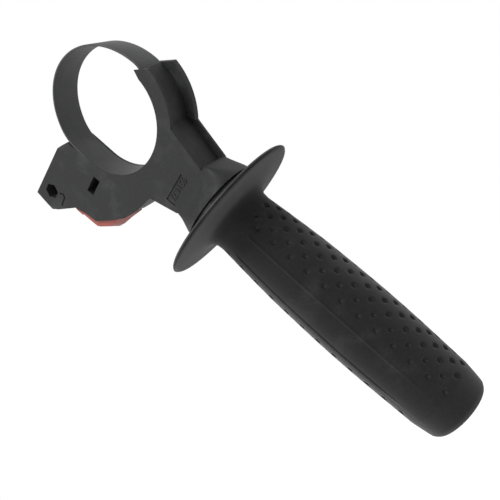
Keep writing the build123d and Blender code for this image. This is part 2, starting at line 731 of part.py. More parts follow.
# Release button: one red moulding, a crowned pad with a snap hook behind it and a lug for the lock bar. Each half of
# the pad narrows from the crest to its side, and a straight core in it carries the lug.
with BuildPart() as release_button:
    with BuildSketch(press_plane):
        with BuildLine():
            Polyline(
                (button_back_u, button_crest[0][1]),
                *button_crest,
                button_end,
                (button_back_u, button_end[1]),
                close=True,
            )
        make_face()
    extrude(amount=button_width / 2, both=True, taper=math.degrees(math.atan(2 * button_crown / button_width)))
    with BuildSketch(press_plane):
        with BuildLine():
            Polyline(
                (button_back_u, lug_foot),
                (button_lug_u, lug_foot),
                (button_lug_u, lug_top),
                (button_back_u, lug_top),
                (button_core_u, lug_top + button_core_u - button_back_u),
                (button_core_u, button_core_foot),
                (button_back_u, button_core_foot),
                close=True,
            )
        make_face()
    extrude(amount=button_width / 2, both=True)
    with BuildSketch(press_plane):
        with Locations(((button_back_u + hook_tip_u) / 2, hook_line)):
            Rectangle(hook_tip_u - button_back_u, hook_shank[1] - hook_shank[0])
        with Locations(((hook_root_u + hook_tip_u) / 2, hook_line)):
            Rectangle(hook_tip_u - hook_root_u, hook_shank[1] - hook_shank[0] + 2 * hook_barb - 0.2)
    extrude(amount=button_width / 4, both=True)
    with BuildSketch(Plane.XZ):
        with BuildLine():
            Polyline(*bar_outline, close=True)
        make_face()
    extrude(amount=bar_thickness / 2, both=True, mode=Mode.SUBTRACT)
    with BuildSketch(Plane.XZ):
        with Locations(bar_pin):
            Circle(bar_pin_radius)
    extrude(amount=button_width / 2, both=True, mode=Mode.SUBTRACT)
save(release_button.part, "release_button")

# Lock bar: a stamped steel strip in the lug's slot, with its pin.
with BuildPart() as gauge_lock_bar:
    with BuildSketch(Plane.XZ):
        with BuildLine():
            Polyline(*bar_outline, close=True)
        make_face()
        with Locations(bar_pin):
            Circle(bar_pin_radius, mode=Mode.SUBTRACT)
    extrude(amount=bar_thickness / 2, both=True)
save(gauge_lock_bar.part, "gauge_lock_bar")
with BuildPart() as lock_bar_pin:
    with BuildSketch(Plane.XZ):
        with Locations(bar_pin):
            Circle(bar_pin_radius)
    extrude(amount=button_width / 2 - 1.0, both=True)
save(lock_bar_pin.part, "lock_bar_pin")

# Button springs: two small coil springs that push the button out.
spring_length = spring_seat_u - button_back_u - 2 * spring_wire
for name, line in zip(("button_spring_lower", "button_spring_upper"), spring_lines):
    start = press_plane.from_local_coords((button_back_u + spring_wire, line, 0))
    with BuildPart() as button_spring:
        with BuildLine() as coil:
            Helix(spring_length / spring_turns, spring_length, spring_radius, start, (1, 0, 1))
        with BuildSketch(Plane(origin=coil.line @ 0, z_dir=coil.line % 0)):
            Circle(spring_wire)
        sweep()
    save(button_spring.part, name)
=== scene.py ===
from math import pi, radians

import bmesh
import bpy
import numpy as np
from mathutils import Matrix


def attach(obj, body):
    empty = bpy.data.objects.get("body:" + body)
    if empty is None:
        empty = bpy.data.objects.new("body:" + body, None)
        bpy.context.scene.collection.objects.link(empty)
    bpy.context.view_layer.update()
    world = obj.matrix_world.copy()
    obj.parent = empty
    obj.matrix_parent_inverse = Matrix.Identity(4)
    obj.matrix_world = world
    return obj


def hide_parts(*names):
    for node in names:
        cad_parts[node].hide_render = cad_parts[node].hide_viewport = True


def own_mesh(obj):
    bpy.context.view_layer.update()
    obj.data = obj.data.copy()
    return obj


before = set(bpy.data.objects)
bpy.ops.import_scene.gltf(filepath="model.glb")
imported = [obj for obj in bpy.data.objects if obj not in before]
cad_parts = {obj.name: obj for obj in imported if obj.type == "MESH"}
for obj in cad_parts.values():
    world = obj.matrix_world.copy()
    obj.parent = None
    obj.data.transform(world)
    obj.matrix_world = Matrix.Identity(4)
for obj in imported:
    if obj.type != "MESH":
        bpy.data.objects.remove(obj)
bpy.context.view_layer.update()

# Named sizes are in millimetres, and MM turns them into the scene's metres. The stage's own sizes are in metres.
MM = 0.001


def placed(name, data):
    """A new object in the scene that holds a mesh, lamp, camera or text."""
    piece = bpy.data.objects.new(name, data)
    bpy.context.scene.collection.objects.link(piece)
    return piece


# Clamp body: one glass-filled nylon moulding, the saddle, arm, neck and depth rod housing in one. It comes out of its
# mould with a fine spark-eroded grain and crisp edges.
JOIN_DISTANCE = 0.001 * MM
LEVEL_ANGLE = radians(0.5)
SHARP_ANGLE = radians(28.0)
SLOPE_ANGLE = radians(1.5)
WIDE_FACE = 100 * MM * MM


def merged(node, name):
    """A copy of a CAD node's triangles with shared points joined, and level neighbours made one face."""
    work = bmesh.new()
    work.from_mesh(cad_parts[node].data)
    bmesh.ops.remove_doubles(work, verts=work.verts, dist=JOIN_DISTANCE)
    bmesh.ops.dissolve_limit(work, angle_limit=LEVEL_ANGLE, verts=work.verts, edges=work.edges)
    mesh = bpy.data.meshes.new(name)
    work.to_mesh(mesh)
    work.free()
    if "custom_normal" in mesh.attributes:
        mesh.attributes.remove(mesh.attributes["custom_normal"])
    mesh.shade_smooth()
    return placed(name, mesh)


# The neck's foot, where the body's squarish outline swells into the round flange, with the yoke's chamber inside.
FOOT_TOP = -48.6
FOOT_END = -60.0
FOOT_HALF = np.array([14.0, 9.0])
FOOT_RADIUS = 19.25
FOOT_FLARE = 1.8
FOOT_SQUARENESS = 0.94
FOOT_ROUNDING = 0.75
FOOT_ROW_SPACING = 1.6
CHAMBER_HALF = np.array([9.1, 7.0])
SKIN_CLEAR = 0.5
HEIGHT_SLACK = 0.01


def foot_reach(turn, share):
    """The foot's radius at an angle and a share of its height, a superellipse with half axes a and b and power n:
    (|cos/a|^n + |sin/b|^n)^(-1/n). The axes grow to one radius, and the power falls from 33, nearly a rectangle, to 2,
    a circle."""
    a = FOOT_HALF[0] + (FOOT_RADIUS - FOOT_HALF[0]) * share
    b = FOOT_HALF[1] + (FOOT_RADIUS - FOOT_HALF[1]) * share**FOOT_FLARE
    power = 2 / (1 - FOOT_SQUARENESS * (1 - share)**FOOT_ROUNDING)
    return (np.abs(np.cos(turn) / a)**power + np.abs(np.sin(turn) / b)**power)**(-1 / power)


def swell_foot(piece, rows=14, spokes=24):
    """Cuts the foot's outer skin into small faces and moves their points onto the superellipses."""
    work = bmesh.new()
    work.from_mesh(piece.data)

    def skin():
        """The faces, edges and points of the foot's side, without its level faces and the chamber's walls."""
        low, high = (FOOT_END - HEIGHT_SLACK) * MM, (FOOT_TOP + HEIGHT_SLACK) * MM
        clear = (CHAMBER_HALF + SKIN_CLEAR) * MM
        within = {v for v in work.verts
                  if low < v.co.z < high and (abs(v.co.x) > clear[0] or abs(v.co.y) > clear[1])}
        faces = [f for f in work.faces if abs(f.normal.z) < 0.95 and all(v in within for v in f.verts)]
        edges = {e for f in faces for e in f.edges}
        verts = {v for f in faces for v in f.verts}
        return faces, list(edges), list(verts)

    shares = np.linspace(0, 1, rows + 1)[1:-1]**FOOT_ROW_SPACING
    for height in FOOT_TOP + (FOOT_END - FOOT_TOP) * shares:
        faces, edges, verts = skin()
        bmesh.ops.bisect_plane(work, geom=faces + edges + verts,
                               plane_co=(0, 0, height * MM), plane_no=(0, 0, 1))
    for turn in np.linspace(0, pi, spokes, endpoint=False):
        faces, edges, verts = skin()
        bmesh.ops.bisect_plane(work, geom=faces + edges + verts,
                               plane_co=(0, 0, 0), plane_no=(np.sin(turn), -np.cos(turn), 0))
    for vert in skin()[2]:
        share = (vert.co.z / MM - FOOT_TOP) / (FOOT_END - FOOT_TOP)
        if 0.001 < share < 0.999:
            turn = np.arctan2(vert.co.y, vert.co.x)
            reach = foot_reach(turn, share) * MM
            vert.co.x = reach * np.cos(turn)
            vert.co.y = reach * np.sin(turn)
    work.to_mesh(piece.data)
    work.free()


def crisp_edges(piece):
    """Parts the shading at every sharp edge, and at any slope between two wide faces."""
    work = bmesh.new()
    work.from_mesh(piece.data)
    for edge in work.edges:
        if len(edge.link_faces) == 2:
            turn = edge.calc_face_angle(0)
            wide = min(face.calc_area() for face in edge.link_faces) > WIDE_FACE
            edge.smooth = turn < SHARP_ANGLE and not (wide and turn > SLOPE_ANGLE)
    work.to_mesh(piece.data)
    work.free()


def effect_group(name, inputs, outputs):
    """An empty shader node group with number inputs and the outputs named, and its two end nodes."""
    group = bpy.data.node_groups.new(name, "ShaderNodeTree")
    for label, value in inputs:
        socket = group.interface.new_socket(label, in_out="INPUT", socket_type="NodeSocketFloat")
        socket.default_value = value
    for label in outputs:
        group.interface.new_socket(label, in_out="OUTPUT", socket_type="NodeSocketFloat")
    return group, group.nodes.new("NodeGroupInput"), group.nodes.new("NodeGroupOutput")


def noise_in(group, coordinates, scale, detail=3.0):
    """A noise texture in a group, its scale from a socket, or a plain number."""
    noise = group.nodes.new("ShaderNodeTexNoise")
    noise.inputs["Detail"].default_value = detail
    group.links.new(coordinates, noise.inputs["Vector"])
    if isinstance(scale, float):
        noise.inputs["Scale"].default_value = scale
    else:
        group.links.new(scale, noise.inputs["Scale"])
    return noise.outputs["Fac"]


def blend_of(group, operation, first, second):
    """A math node in a group on two sockets or numbers."""
    node = group.nodes.new("ShaderNodeMath")
    node.operation = operation
    for slot, value in zip(node.inputs, (first, second)):
        if isinstance(value, (int, float)):
            slot.default_value = value
        else:
            group.links.new(value, slot)
    return node.outputs[0]


# Moulded grain: a broad cloudy tone from the melt's flow, and the fine pits of the spark-eroded mould.
CLOUD_SHARE = 0.7
PIT_SHARE = 0.3
moulded_grain, grain_in, grain_out = effect_group(
    "moulded grain", [("Cloud Scale", 260.0), ("Pit Scale", 2600.0)], ["Tone", "Pits"])
grain_place = moulded_grain.nodes.new("ShaderNodeTexCoord").outputs["Object"]
clouds = noise_in(moulded_grain, grain_place, grain_in.outputs["Cloud Scale"])
pits = noise_in(moulded_grain, grain_place, grain_in.outputs["Pit Scale"], detail=1.0)
cloud_part = blend_of(moulded_grain, "MULTIPLY", clouds, CLOUD_SHARE)
pit_part = blend_of(moulded_grain, "MULTIPLY", pits, PIT_SHARE)
moulded_grain.links.new(blend_of(moulded_grain, "ADD", cloud_part, pit_part), grain_out.inputs["Tone"])
moulded_grain.links.new(pits, grain_out.inputs["Pits"])

# Rub marks: patches where handling has left the surface paler, broken up by a finer noise.
PATCH_SCALE = 75.0
BREAK_SCALE = 700.0
rub_marks, rub_in, rub_out = effect_group("rub marks", [("Low", 0.52), ("High", 0.78)], ["Mask"])
rub_place = rub_marks.nodes.new("ShaderNodeTexCoord").outputs["Object"]
rub_range = rub_marks.nodes.new("ShaderNodeMapRange")
rub_marks.links.new(noise_in(rub_marks, rub_place, PATCH_SCALE, detail=5.0), rub_range.inputs["Value"])
rub_marks.links.new(rub_in.outputs["Low"], rub_range.inputs["From Min"])
rub_marks.links.new(rub_in.outputs["High"], rub_range.inputs["From Max"])
rub_break = noise_in(rub_marks, rub_place, BREAK_SCALE, detail=4.0)
rub_marks.links.new(blend_of(rub_marks, "MULTIPLY", rub_range.outputs[0], rub_break), rub_out.inputs["Mask"])


def plastic(name, colour, worn, *, roughness, gloss, contrast, cloud, pit, depth, uneven=0.12, sheen=0.0):
    """A moulded plastic: its colour varies with the grain and pales in rubbed patches, and its pits are a bump."""
    material = bpy.data.materials.new(name)
    material.use_nodes = True
    tree = material.node_tree
    shader = tree.nodes["Principled BSDF"]
    shader.inputs["Specular IOR Level"].default_value = gloss
    shader.inputs["Sheen Weight"].default_value = sheen
    shader.inputs["Sheen Roughness"].default_value = 0.5
    grain = tree.nodes.new("ShaderNodeGroup")
    grain.node_tree = moulded_grain
    grain.inputs["Cloud Scale"].default_value = cloud
    grain.inputs["Pit Scale"].default_value = pit
    tone = tree.nodes.new("ShaderNodeMix")
    tone.data_type = "RGBA"
    tone.inputs["A"].default_value = (*[c * (1 - contrast) for c in colour], 1)
    tone.inputs["B"].default_value = (*[c * (1 + contrast) for c in colour], 1)
    tree.links.new(grain.outputs["Tone"], tone.inputs["Factor"])
    wear = tree.nodes.new("ShaderNodeGroup")
    wear.node_tree = rub_marks
    rubbed = tree.nodes.new("ShaderNodeMix")
    rubbed.data_type = "RGBA"
    rubbed.inputs["B"].default_value = (*worn, 1)
    tree.links.new(wear.outputs["Mask"], rubbed.inputs["Factor"])
    tree.links.new(tone.outputs["Result"], rubbed.inputs["A"])
    tree.links.new(rubbed.outputs["Result"], shader.inputs["Base Color"])
    dull = tree.nodes.new("ShaderNodeMapRange")
    dull.inputs["To Min"].default_value = roughness - uneven
    dull.inputs["To Max"].default_value = roughness + uneven
    tree.links.new(grain.outputs["Tone"], dull.inputs["Value"])
    tree.links.new(dull.outputs[0], shader.inputs["Roughness"])
    bump = tree.nodes.new("ShaderNodeBump")
    bump.inputs["Distance"].default_value = depth
    bump.inputs["Strength"].default_value = 0.5
    tree.links.new(grain.outputs["Pits"], bump.inputs["Height"])
    tree.links.new(bump.outputs["Normal"], shader.inputs["Normal"])
    return material


body_nylon = plastic("body nylon", (0.0215, 0.0217, 0.0221), (0.075, 0.076, 0.079), roughness=0.55, gloss=0.2,
                     contrast=0.6, cloud=900.0, pit=2600.0, depth=0.06 * MM)
clamp_body = merged("clamp_body", "clamp_body_moulding")
swell_foot(clamp_body)
crisp_edges(clamp_body)
clamp_body.data.materials.append(body_nylon)
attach(clamp_body, "clamp_body")
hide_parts("clamp_body")

# Nameplate: a shallow recess in the neck's front face, with plain raised digits moulded in its floor.
NAMEPLATE_X = -4.2
NAMEPLATE_FLOOR_Y = -8.4
NAMEPLATE_Z = -43.5
digits_curve = bpy.data.curves.new("nameplate digits", "FONT")
digits_curve.body = "12 34 56"
digits_curve.size = 4.3 * MM
digits_curve.extrude = 0.3 * MM
digits_curve.offset = 0.06 * MM
digits_curve.space_character = 0.86
digits_curve.align_x = "CENTER"
digits_curve.align_y = "CENTER"
digits_text = placed("digits text", digits_curve)
digits_mesh = bpy.data.meshes.new_from_object(digits_text)
bpy.data.objects.remove(digits_text)
upright_on_plate = Matrix.Rotation(pi / 2, 4, "X")
plate_place = Matrix.Translation((NAMEPLATE_X * MM, NAMEPLATE_FLOOR_Y * MM, NAMEPLATE_Z * MM))
digits_mesh.transform(plate_place @ upright_on_plate)
digits = placed("nameplate_digits", digits_mesh)
digits_mesh.materials.append(body_nylon)
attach(digits, "clamp_body")

# Clamp strap: a spring-steel strip blackened by phosphating, rolled to a loop. It lies level with the saddle's own
# arc on the one side, and runs down inside the arm on the other.
BORE_RADIUS = 25.25
LOOP_CENTRE = np.array([0.45, 0.9])
LOOP_HALF = np.array([28.3, 32.4])
LOOP_LEAVES = radians(143.0)
ARM_BEND = 10.8
SADDLE_BEND = 3.0
SADDLE_DIVE = radians(-108.0)
PIN_OFFSET = 5.0
PIN_Z = -44.5
STRAP_WIDTH = 16.0
STRAP_THICKNESS = 0.8
STRAP_CORNER = 0.22
STRAP_CUT_Z = -28.8
LEG_TOP_Z = -28.0


def arc(centre, radius, first, last, step=0.02):
    """Points on a circle from one angle to another, at even small turns."""
    turns = np.linspace(first, last, max(3, int(abs(last - first) / step)))
    return centre + radius * np.stack([np.cos(turns), np.sin(turns)], 1)


def touch_angle(centre, radius, target, side):
    """The angle on a circle where a line from a target point touches it: the target's bearing plus or minus (side)
    the arc cosine of radius over distance."""
    away = target - centre
    return np.arctan2(away[1], away[0]) + side * np.arccos(radius / np.hypot(*away))


def leg_to(pin, start, foot_z, count=8):
    """A straight leg from a start point towards a pin, as far as a height."""
    share = (foot_z - start[1]) / (pin[1] - start[1])
    return start + (pin - start) * np.linspace(0, share, count)[1:, None]


def strap_route():
    """The strap's middle line in millimetres: a leg, an arc, part of an ellipse, an arc that brings it upright, a
    straight, the saddle's arc, and a tight bend into the other leg."""
    line = BORE_RADIUS + STRAP_THICKNESS / 2
    arm_centre = LOOP_CENTRE + (LOOP_HALF[0] - ARM_BEND, 0)
    arm_pin = np.array([PIN_OFFSET, PIN_Z])
    saddle_pin = np.array([-PIN_OFFSET, PIN_Z])
    arm_arc = arc(arm_centre, ARM_BEND, touch_angle(arm_centre, ARM_BEND, arm_pin, 1), 0)
    arm_leg = leg_to(arm_pin, arm_arc[0], STRAP_CUT_Z)[::-1]
    turns = np.linspace(0, LOOP_LEAVES, 140)[1:]
    loop = LOOP_CENTRE + LOOP_HALF * np.stack([np.cos(turns), np.sin(turns)], 1)
    heading = LOOP_HALF * (-np.sin(LOOP_LEAVES), np.cos(LOOP_LEAVES))
    inward = np.array([-heading[1], heading[0]]) / np.hypot(*heading)
    side_radius = (loop[-1, 0] + line) / (1 - inward[0])
    side_centre = loop[-1] + inward * side_radius
    side_arc = arc(side_centre, side_radius, np.arctan2(*(-inward)[::-1]) % (2 * pi), pi)[1:]
    upright = np.stack([np.full(4, -line), np.linspace(side_centre[1], 0, 4)], 1)[1:]
    saddle_arc = arc(np.zeros(2), line, pi, SADDLE_DIVE + 2 * pi)[1:]
    bend_centre = (line + SADDLE_BEND) * np.array([np.cos(SADDLE_DIVE), np.sin(SADDLE_DIVE)])
    bend_leaves = touch_angle(bend_centre, SADDLE_BEND, saddle_pin, 1)
    bend = arc(bend_centre, SADDLE_BEND, SADDLE_DIVE + pi, bend_leaves, step=0.1)[1:]
    return np.concatenate([arm_leg, arm_arc, loop, side_arc, upright, saddle_arc, bend,
                           leg_to(saddle_pin, bend[-1], STRAP_CUT_Z)])


def rounded_section(width, thickness, corner, steps=4):
    """A rectangle with quarter circles at its corners, as points (across, through) once round."""
    turns = np.linspace(0, pi / 2, steps)
    quarter = np.stack([np.cos(turns), np.sin(turns)], 1) * corner
    parts = []
    for quarters, (side, face) in enumerate(((1, 1), (-1, 1), (-1, -1), (1, -1))):
        c, s = np.cos(quarters * pi / 2), np.sin(quarters * pi / 2)
        centre = np.array([side * (width / 2 - corner), face * (thickness / 2 - corner)])
        parts.append(quarter @ np.array([[c, s], [-s, c]]) + centre)
    return np.concatenate(parts)


def grid_mesh(name, points, closed_rows=False):
    """A mesh from a grid of points in millimetres. Each row is a ring, and the rows follow each other, in a loop or
    with end caps."""
    rows, ring = points.shape[:2]
    index = np.arange(rows * ring).reshape(rows, ring)
    ahead = np.roll(index, -1, 0) if closed_rows else index[1:]
    here = index if closed_rows else index[:-1]
    quads = np.stack([here, np.roll(here, -1, 1), np.roll(ahead, -1, 1), ahead], -1).reshape(-1, 4)
    faces = quads.tolist()
    if not closed_rows:
        faces += [index[0][::-1].tolist(), index[-1].tolist()]
    mesh = bpy.data.meshes.new(name)
    mesh.from_pydata((points.reshape(-1, 3) * MM).tolist(), [], faces)
    work = bmesh.new()
    work.from_mesh(mesh)
    bmesh.ops.recalc_face_normals(work, faces=work.faces)
    work.to_mesh(mesh)
    work.free()
    mesh.shade_smooth()
    return mesh


def carried(name, route, section):
    """A section carried along a line in the XZ plane: each route point plus the section's across part along Y and
    its through part along the line's own normal."""
    along = np.gradient(route, axis=0)
    along /= np.linalg.norm(along, axis=1)[:, None]
    normal = np.stack([along[:, 1], -along[:, 0]], 1)
    flat = route[:, None, :] + normal[:, None, :] * section[None, :, 1, None]
    across = np.broadcast_to(section[None, :, 0], flat.shape[:2])
    return grid_mesh(name, np.stack([flat[..., 0], across, flat[..., 1]], -1))


# Drawn metal: a fine streak along the piece, and a broad stain.
STREAK_STRETCH = 0.08
STAIN_SCALE = 120.0
drawn_metal, drawn_in, drawn_out = effect_group("drawn metal", [("Streak Scale", 900.0)], ["Streak", "Stain"])
drawn_place = drawn_metal.nodes.new("ShaderNodeTexCoord").outputs["Object"]
stretch = drawn_metal.nodes.new("ShaderNodeMapping")
stretch.inputs["Scale"].default_value = (STREAK_STRETCH, 1.0, STREAK_STRETCH)
drawn_metal.links.new(drawn_place, stretch.inputs["Vector"])
streaks = noise_in(drawn_metal, stretch.outputs[0], drawn_in.outputs["Streak Scale"])
drawn_metal.links.new(streaks, drawn_out.inputs["Streak"])
drawn_metal.links.new(noise_in(drawn_metal, drawn_place, STAIN_SCALE), drawn_out.inputs["Stain"])


def metal(name, dark, light, *, roughness, metallic=1.0, streak=900.0, gloss=0.5, uneven=0.1):
    """A drawn or plated metal: its colour runs from dark to light with the stain, its roughness with the streaks."""
    material = bpy.data.materials.new(name)
    material.use_nodes = True
    tree = material.node_tree
    shader = tree.nodes["Principled BSDF"]
    shader.inputs["Metallic"].default_value = metallic
    shader.inputs["Specular IOR Level"].default_value = gloss
    drawn = tree.nodes.new("ShaderNodeGroup")
    drawn.node_tree = drawn_metal
    drawn.inputs["Streak Scale"].default_value = streak
    stained = tree.nodes.new("ShaderNodeMix")
    stained.data_type = "RGBA"
    stained.inputs["A"].default_value = (*dark, 1)
    stained.inputs["B"].default_value = (*light, 1)
    tree.links.new(drawn.outputs["Stain"], stained.inputs["Factor"])
    tree.links.new(stained.outputs["Result"], shader.inputs["Base Color"])
    dull = tree.nodes.new("ShaderNodeMapRange")
    dull.inputs["To Min"].default_value = roughness - uneven
    dull.inputs["To Max"].default_value = roughness + uneven
    tree.links.new(drawn.outputs["Streak"], dull.inputs["Value"])
    tree.links.new(dull.outputs[0], shader.inputs["Roughness"])
    bump = tree.nodes.new("ShaderNodeBump")
    bump.inputs["Distance"].default_value = 0.015 * MM
    bump.inputs["Strength"].default_value = 0.4
    tree.links.new(drawn.outputs["Streak"], bump.inputs["Height"])
    tree.links.new(bump.outputs["Normal"], shader.inputs["Normal"])
    return material


strap_steel = metal("strap steel", (0.045, 0.0455, 0.046), (0.075, 0.0755, 0.077), roughness=0.58, metallic=0.4,
                    gloss=0.4)
strap_section = rounded_section(STRAP_WIDTH, STRAP_THICKNESS, STRAP_CORNER)
strap = placed("clamp_strap_loop", carried("clamp_strap_loop", strap_route(), strap_section))
strap.data.materials.append(strap_steel)
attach(strap, "clamp_body")
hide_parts("clamp_band")
# The yoke's 6 mm of travel is about a tenth of the loop's height over its anchor.
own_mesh(strap)

# Strap ends: the narrowed ends of the same strip, each rolled into an eye round its pin. They go down with the yoke
# and pass the loop's lower end inside the body's slots.
strap_ends = merged("clamp_band", "clamp_strap_ends")
cut = bmesh.new()
cut.from_mesh(strap_ends.data)
bmesh.ops.bisect_plane(cut, geom=cut.verts[:] + cut.edges[:] + cut.faces[:],
                       plane_co=(0, 0, LEG_TOP_Z * MM), plane_no=(0, 0, 1), clear_outer=True)
bmesh.ops.holes_fill(cut, edges=[e for e in cut.edges if e.is_boundary], sides=0)
cut.to_mesh(strap_ends.data)
cut.free()
strap_ends.data.materials.append(strap_steel)
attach(strap_ends, "tension_yoke")
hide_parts("clamp_band")

# Tension yoke: a zinc-plated steel fork. Two ground dowels in its cheeks hold the strap's eyes, and a spring pin
# across its base keeps the stud from turning.
zinc = metal("zinc plate", (0.42, 0.43, 0.45), (0.58, 0.59, 0.60), roughness=0.36)
ground = metal("ground steel", (0.36, 0.36, 0.37), (0.50, 0.50, 0.52), roughness=0.25, streak=1600.0)


def dress(node, material):
    """Puts one material on a CAD node."""
    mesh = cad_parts[node].data
    mesh.materials.clear()
    mesh.materials.append(material)


dress("tension_yoke", zinc)
for pin in ("strap_pin_arm_side", "strap_pin_gauge_side", "stud_lock_pin"):
    dress(pin, ground)

# Tension stud: an M10 rod screwed into the yoke, with a rolled thread of 1.5 mm pitch.
STUD_RADIUS = 4.95
STUD_TOP = -48.5
STUD_LENGTH = 41.0
THREAD_PITCH = 1.5
THREAD_DEPTH = 0.85
STUD_CHAMFER = 0.9


def threaded_rod(name, radius, top, length, around=48, per_pitch=8):
    """A rod whose radius falls by the thread's depth in a rounded vee: depth times a raised cosine of
    z over pitch less the turn, faded out at the ends, which are chamfered."""
    z = np.linspace(top, top - length, int(length / THREAD_PITCH * per_pitch) + 1)
    turn = np.linspace(0, 2 * pi, around, endpoint=False)
    zz, tt = np.meshgrid(z, turn, indexing="ij")
    inset = np.minimum(zz - (top - length), top - zz)
    fade = np.clip(inset / THREAD_PITCH, 0, 1)
    groove = 0.5 - 0.5 * np.cos(2 * pi * (zz / THREAD_PITCH) - tt)
    r = radius - THREAD_DEPTH * fade * groove - STUD_CHAMFER * np.clip(1 - inset, 0, 1)
    return grid_mesh(name, np.stack([r * np.cos(tt), r * np.sin(tt), zz], -1))


stud_mesh = threaded_rod("tension_stud_thread", STUD_RADIUS, STUD_TOP, STUD_LENGTH)
stud = placed("tension_stud_thread", stud_mesh)
stud.data.materials.append(zinc)
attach(stud, "tension_yoke")
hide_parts("tension_stud")

# Washers: a black acetal one stays with the neck, and a plated steel one turns with the grip.
acetal = plastic("washer acetal", (0.022, 0.022, 0.023), (0.05, 0.05, 0.05), roughness=0.42, gloss=0.3,
                 contrast=0.1, cloud=400.0, pit=2600.0, depth=0.03 * MM)
dress("slide_washer", acetal)
dress("thrust_washer", zinc)

# Grip core: the hard nylon barrel and the top of the guard flange, one moulding.
core_nylon = plastic("grip core nylon", (0.026, 0.0265, 0.028), (0.06, 0.06, 0.062), roughness=0.5, gloss=0.26,
                     contrast=0.14, cloud=240.0, pit=2400.0, depth=0.05 * MM)
dress("grip_core", core_nylon)

# Grip sleeve: soft black rubber moulded over the core, up under the flange. Two fields of round dimples lie in
# shallow panels, each panel bordered by a raised line, with a plain strip between them front and back.
SEAM_Z = -65.8
LIP_RADIUS = 35.75
FLANGE_HALF = 1.0
RIM_REACH = 1.6
GRIP_LINE = np.array([
    (34.4, -66.8), (28.0, -67.3), (22.0, -68.2), (18.6, -68.9), (16.4, -69.9), (15.3, -71.6), (14.95, -74.5),
    (15.3, -79.5), (16.1, -87.5), (17.0, -100.0), (17.55, -111.0), (18.1, -137.0), (17.8, -160.0), (16.95, -182.0)])
WAIST_PLACE = 6
TAIL_CORNER = np.array([(15.6, -190.4), (15.1, -192.0), (14.0, -193.4), (12.9, -194.0), (11.8, -194.2)])
SLEEVE_WALL = 3.0
BORE_FOOT = [(11.8, -191.2), (13.9, -188.0)]
BORE_TOP = [(12.1, -68.8), (15.1, SEAM_Z)]
DIMPLE_COLUMNS = 8
DIMPLE_TURN = 14.43
DIMPLE_RISE = 8.87
DIMPLE_TOP = -77.6
DIMPLE_FOOT = -184.0
DIMPLE_RADIUS = 1.5
DIMPLE_DEPTH = 1.05
DIMPLE_POLISH = 0.3
DIMPLE_GLOSS = 0.12
# The next two numbers paint shade into the dimples: how far their colour is mixed towards a near black, and that black.
DIMPLE_PAINTED_SHADE = 0.85
DIMPLE_PAINTED_SHADE_TONE = 0.002
RUBBER_GLOSS = 0.06
RUBBER_SHEEN = 0.3
PANEL_HALF_TURN = 69.0
PANEL_TOP = -80.0
PANEL_FOOT = -186.0
PANEL_TOP_FADE = 8.0
PANEL_FADE = 16.0
PANEL_RAMP = 0.9
PANEL_DEPTH = 0.16
CREST_HEIGHT = 0.4
CREST_HALF = 0.5
CREST_GROOVE = 0.05
CREST_SIDE = 1.0
CREST_TOP_FADE = 4.0
CREST_FOOT = -174.0
CREST_TURNS = np.array([-4.4, -3.3, -2.4, -1.6, -0.8, 0, 0.8, 1.6, 2.4, 3.3, 4.4])
CREST_CLEAR = 4.9


def smooth_line(points, count):
    """Points along a smooth curve through given points: a Catmull-Rom cubic over each span, spaced evenly along the
    chords."""
    padded = np.vstack([2 * points[0] - points[1], points, 2 * points[-1] - points[-2]])
    reach = np.concatenate([[0], np.cumsum(np.linalg.norm(np.diff(points, axis=0), axis=1))])
    place = np.linspace(0, reach[-1], count)
    span = np.clip(np.searchsorted(reach, place, side="right") - 1, 0, len(points) - 2)
    t = ((place - reach[span]) / (reach[span + 1] - reach[span]))[:, None]
    p0, p1, p2, p3 = (padded[span + k] for k in range(4))
    return 0.5 * (2 * p1 + (p2 - p0) * t
                  + (2 * p0 - 5 * p1 + 4 * p2 - p3) * t**2
                  + (3 * p1 - p0 - 3 * p2 + p3) * t**3)


def dimple_depth(turn, z, radius):
    """How far the rubber lies under its plain surface, and how deep in a dimple it is, from 0 to 1. Each dimple is the
    bowl 1 - (r/R)^2 round the nearest centre of a staggered lattice. The panel adds a shallow step, and its border is a
    narrow crest with a shallow groove on each side, both Gaussians."""
    from_panel = (np.degrees(turn) + 90) % 180 - 90
    column = np.round(from_panel / DIMPLE_TURN - 0.5)
    column = np.clip(column, -DIMPLE_COLUMNS // 2, DIMPLE_COLUMNS // 2 - 1)
    centre = (column + 0.5) * DIMPLE_TURN
    start = DIMPLE_TOP - np.where(column % 2 == 0, DIMPLE_RISE / 2, 0)
    row = np.round((start - z) / DIMPLE_RISE)
    last = np.floor((start - DIMPLE_FOOT) / DIMPLE_RISE)
    row = np.clip(row, 0, last)
    along = z - (start - row * DIMPLE_RISE)
    across = np.radians(from_panel - centre) * radius
    bowl = np.clip(1 - (np.hypot(along, across) / DIMPLE_RADIUS)**2, 0, 1)
    side = (PANEL_HALF_TURN - np.abs(from_panel)) * pi / 180 * radius
    fade = np.clip((PANEL_TOP - z) / PANEL_TOP_FADE, 0, 1) * np.clip((z - PANEL_FOOT) / PANEL_FADE, 0, 1)
    panel = np.clip(side / PANEL_RAMP, 0, 1) * fade * PANEL_DEPTH
    ends = np.clip((PANEL_TOP - z) / CREST_TOP_FADE, 0, 1) * np.clip((z - CREST_FOOT) / PANEL_FADE, 0, 1)
    crest = np.exp(-(side / CREST_HALF)**2) * CREST_HEIGHT
    groove = np.exp(-((np.abs(side) - CREST_SIDE) / CREST_HALF)**2) * CREST_GROOVE
    return bowl * DIMPLE_DEPTH + panel + (groove - crest) * ends, bowl


def turns_with_crests(around):
    """Even turns once round, with finer ones at the four crests."""
    even = np.linspace(0, 360, around, endpoint=False)
    crests = np.array([PANEL_HALF_TURN, 180 - PANEL_HALF_TURN, 180 + PANEL_HALF_TURN, 360 - PANEL_HALF_TURN])
    gap = np.abs(even[:, None] - crests[None]).min(1)
    fine = crests[:, None] + CREST_TURNS
    return np.radians(np.sort(np.concatenate([even[gap > CREST_CLEAR], fine.ravel()])))


